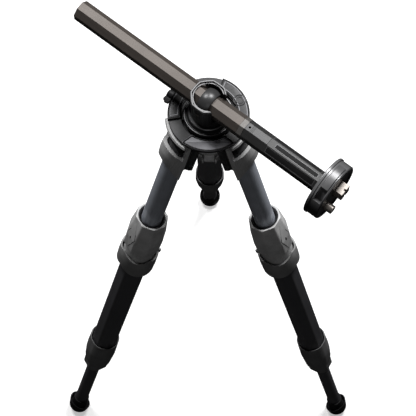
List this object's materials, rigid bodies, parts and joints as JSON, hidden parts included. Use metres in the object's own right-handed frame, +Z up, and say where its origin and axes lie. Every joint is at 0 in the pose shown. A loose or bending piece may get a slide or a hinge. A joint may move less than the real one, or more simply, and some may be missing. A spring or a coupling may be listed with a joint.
{
  "type": "camera tripod",
  "caption": "Three-legged telescoping camera tripod with a rotating, tilting centre column lying level through its head and a round head plate at the column's end.",
  "frame": {"origin": "on the floor, below the middle of the box round the whole tripod", "axes": "+Z up; +Y from the front pair of legs to the rear leg; +X from the left leg to the right leg"},
  "size_m": [0.5206, 0.4556, 1.1028],
  "materials": {
    "casting": "satin dark grey paint",
    "cover": "fine matte light grey",
    "tube": "satin anodised blue grey",
    "black": "satin black anodised",
    "collar": "fine matte grey",
    "column": "fine brushed brown grey",
    "band": "matte beige grey",
    "steel": "machined",
    "rubber": "matte black",
    "rim": "satin light grey paint"
  },
  "bodies": {
    "head": {"spider_casting": "casting", "top_plate": "casting", "front_panel": "casting", "accessory_port_cap": "black", "left_hinge_pin": "steel", "right_hinge_pin": "steel", "rear_hinge_pin": "steel"},
    "turntable": {"turntable": "casting", "column_cradle": "rim", "cradle_liner": "rim", "near_trunnion": "steel", "far_trunnion": "steel"},
    "ball": {"tilt_ball": "casting"},
    "column": {"column_tube": "column", "column_band": "band", "column_head_end": "black", "stop_screw": "black", "head_flange": "black", "head_disc": "black", "locating_post": "steel"},
    "head_lever": {"head_lever": "collar"},
    "camera_stud": {"camera_stud": "steel"},
    "wing_knob": {"wing_knob": "black"},
    "left_leg": {"left_hinge_casting": "casting", "left_hinge_cover": "cover", "left_upper_tube": "tube"},
    "left_selector": {"left_angle_selector": "cover"},
    "left_middle": {"left_upper_collar": "collar", "left_middle_tube": "black", "left_lower_collar": "collar", "left_lever_pin": "steel"},
    "left_lever": {"left_quick_lever": "collar"},
    "left_shoe": {"left_clamp_shoe": "rubber"},
    "left_lower": {"left_lower_tube": "black", "left_foot": "rubber"},
    "right_leg": {"right_hinge_casting": "casting", "right_hinge_cover": "cover", "right_upper_tube": "tube"},
    "right_selector": {"right_angle_selector": "cover"},
    "right_middle": {"right_upper_collar": "collar", "right_middle_tube": "black", "right_lower_collar": "collar", "right_lever_pin": "steel"},
    "right_lever": {"right_quick_lever": "collar"},
    "right_shoe": {"right_clamp_shoe": "rubber"},
    "right_lower": {"right_lower_tube": "black", "right_foot": "rubber"},
    "rear_leg": {"rear_hinge_casting": "casting", "rear_hinge_cover": "cover", "rear_upper_tube": "tube"},
    "rear_selector": {"rear_angle_selector": "cover"},
    "rear_middle": {"rear_upper_collar": "collar", "rear_middle_tube": "black", "rear_lower_collar": "collar", "rear_lever_pin": "steel"},
    "rear_lever": {"rear_quick_lever": "collar"},
    "rear_shoe": {"rear_clamp_shoe": "rubber"},
    "rear_lower": {"rear_lower_tube": "black", "rear_foot": "rubber"}
  },
  "joints": [
    {"name": "column_pan", "type": "hinge", "parent": "head", "child": "turntable", "pos_m": [0, -0.07068, 1.03409], "axis": [0, 0, 1], "continuous": true},
    {"name": "column_tilt", "type": "hinge", "parent": "turntable", "child": "ball", "pos_m": [0, -0.07068, 1.0621], "axis": [-0.6129, -0.7902, 0], "range_deg": [0, 18]},
    {"name": "column_slide", "type": "slide", "parent": "ball", "child": "column", "axis": [0.7902, -0.6129, 0], "range_m": [-0.04, 0.165]},
    {"name": "head_lever_turn", "type": "hinge", "parent": "column", "child": "head_lever", "pos_m": [0.14381, -0.18223, 1.0621], "axis": [0.7902, -0.6129, 0], "range_deg": [0, 28]},
    {"name": "camera_stud_turn", "type": "hinge", "parent": "column", "child": "camera_stud", "pos_m": [0.14871, -0.17591, 1.0621], "axis": [0.7902, -0.6129, 0], "continuous": true},
    {"name": "wing_knob_turn", "type": "hinge", "parent": "head", "child": "wing_knob", "pos_m": [-0.04435, -0.04076, 1.01209], "axis": [-0.829, 0.5592, 0], "range_deg": [-90, 270]},
    {"name": "left_leg_spread", "type": "hinge", "parent": "head", "child": "left_leg", "pos_m": [-0.03083, -0.08848, 1.00609], "axis": [-0.5, 0.866, 0], "range_deg": [-7.8, 66]},
    {"name": "left_selector_pull", "type": "slide", "parent": "head", "child": "left_selector", "axis": [-0.866, -0.5, 0], "range_m": [0, 0.004], "stiffness_N_per_m": 400},
    {"name": "left_middle_slide", "type": "slide", "parent": "left_leg", "child": "left_middle", "axis": [0.2066, 0.1193, 0.9711], "range_m": [-0.08, 0.11]},
    {"name": "left_quick_lever_open", "type": "hinge", "parent": "left_middle", "child": "left_lever", "pos_m": [-0.08322, -0.11873, 0.64408], "axis": [0.5, -0.866, 0], "range_deg": [0, 12]},
    {"name": "left_shoe_release", "type": "slide", "parent": "left_middle", "child": "left_shoe", "axis": [0.841, 0.4856, -0.2385], "range_m": [0, 0.001]},
    {"name": "left_lower_slide", "type": "slide", "parent": "left_middle", "child": "left_lower", "axis": [0.2066, 0.1193, 0.9711], "range_m": [-0.07, 0.14]},
    {"name": "right_leg_spread", "type": "hinge", "parent": "head", "child": "right_leg", "pos_m": [0.03083, -0.08848, 1.00609], "axis": [-0.5, -0.866, 0], "range_deg": [-7.8, 66]},
    {"name": "right_selector_pull", "type": "slide", "parent": "head", "child": "right_selector", "axis": [0.866, -0.5, 0], "range_m": [0, 0.004], "stiffness_N_per_m": 400},
    {"name": "right_middle_slide", "type": "slide", "parent": "right_leg", "child": "right_middle", "axis": [-0.2066, 0.1193, 0.9711], "range_m": [-0.08, 0.11]},
    {"name": "right_quick_lever_open", "type": "hinge", "parent": "right_middle", "child": "right_lever", "pos_m": [0.08322, -0.11873, 0.64408], "axis": [0.5, 0.866, 0], "range_deg": [0, 12]},
    {"name": "right_shoe_release", "type": "slide", "parent": "right_middle", "child": "right_shoe", "axis": [-0.841, 0.4856, -0.2385], "range_m": [0, 0.001]},
    {"name": "right_lower_slide", "type": "slide", "parent": "right_middle", "child": "right_lower", "axis": [-0.2066, 0.1193, 0.9711], "range_m": [-0.07, 0.14]},
    {"name": "rear_leg_spread", "type": "hinge", "parent": "head", "child": "rear_leg", "pos_m": [0, -0.03508, 1.00609], "axis": [1, 0, 0], "range_deg": [-7.8, 66]},
    {"name": "rear_selector_pull", "type": "slide", "parent": "head", "child": "rear_selector", "axis": [0, 1, 0], "range_m": [0, 0.004], "stiffness_N_per_m": 400},
    {"name": "rear_middle_slide", "type": "slide", "parent": "rear_leg", "child": "rear_middle", "axis": [0, -0.2385, 0.9711], "range_m": [-0.08, 0.11]},
    {"name": "rear_quick_lever_open", "type": "hinge", "parent": "rear_middle", "child": "rear_lever", "pos_m": [0, 0.02542, 0.64408], "axis": [-1, 0, 0], "range_deg": [0, 12]},
    {"name": "rear_shoe_release", "type": "slide", "parent": "rear_middle", "child": "rear_shoe", "axis": [0, -0.9711, -0.2385], "range_m": [0, 0.001]},
    {"name": "rear_lower_slide", "type": "slide", "parent": "rear_middle", "child": "rear_lower", "axis": [0, -0.2385, 0.9711], "range_m": [-0.07, 0.14]}
  ],
  "couplings": [
    {"joint": "left_shoe_release", "follows": "left_quick_lever_open", "m_per_rad": 0.004},
    {"joint": "right_shoe_release", "follows": "right_quick_lever_open", "m_per_rad": 0.004},
    {"joint": "rear_shoe_release", "follows": "rear_quick_lever_open", "m_per_rad": 0.004}
  ]
}
